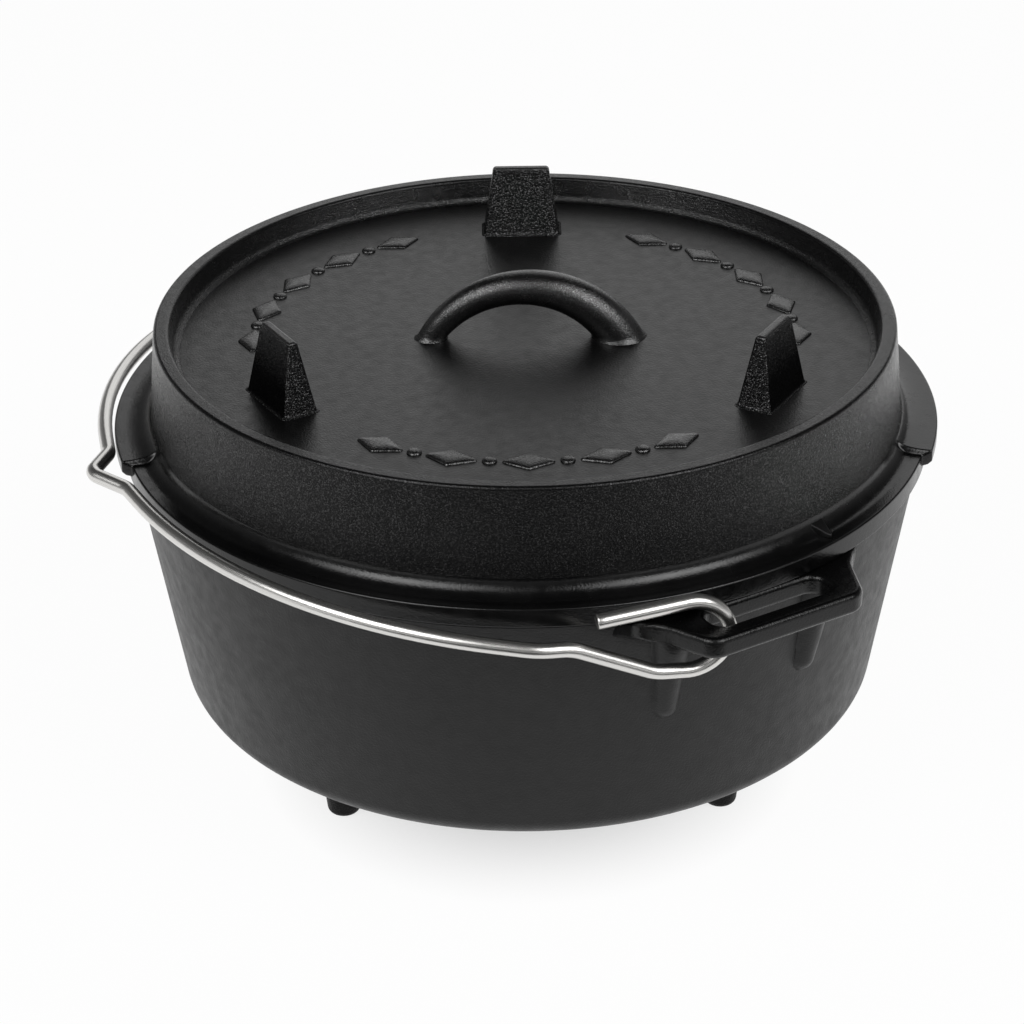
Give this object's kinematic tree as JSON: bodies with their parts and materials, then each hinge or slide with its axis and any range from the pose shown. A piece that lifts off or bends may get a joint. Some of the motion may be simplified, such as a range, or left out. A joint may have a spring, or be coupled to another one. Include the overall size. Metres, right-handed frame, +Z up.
{
  "type": "camp dutch oven",
  "caption": "Round cast-iron camp oven on short feet, with a rimmed lid that turns over to stand on its own legs and a swinging wire bail for carrying or hanging.",
  "frame": {"origin": "on the pot's axis, at the ground that the feet stand on", "axes": "+Z up along the pot's axis; +X from the axis to the middle of the first grip; the bail is folded down to the -Y side"},
  "size_m": [0.3128, 0.2955, 0.1926],
  "materials": {
    "iron": "seasoned satin black with a fine cast grain",
    "steel": "bright drawn wire"
  },
  "bodies": {
    "pot": {"pot_body": "iron", "foot_1": "iron", "foot_2": "iron", "foot_3": "iron", "grip_1": "iron", "grip_2": "iron", "rib_1": "iron", "rib_2": "iron", "rib_3": "iron", "rib_4": "iron"},
    "lid": {"lid_body": "iron", "lid_leg_1": "iron", "lid_leg_2": "iron", "lid_leg_3": "iron", "lid_handle": "iron"},
    "bail": {"bail": "steel"}
  },
  "joints": [
    {"name": "lid_lift", "type": "slide", "parent": "pot", "child": "lid", "axis": [0, 0, 1], "range_m": [0, 0.2]},
    {"name": "bail_swing", "type": "hinge", "parent": "pot", "child": "bail", "pos_m": [0, 0, 0.12995], "axis": [0.9806, -0.1962, 0], "range_deg": [-169.4, 0]}
  ]
}
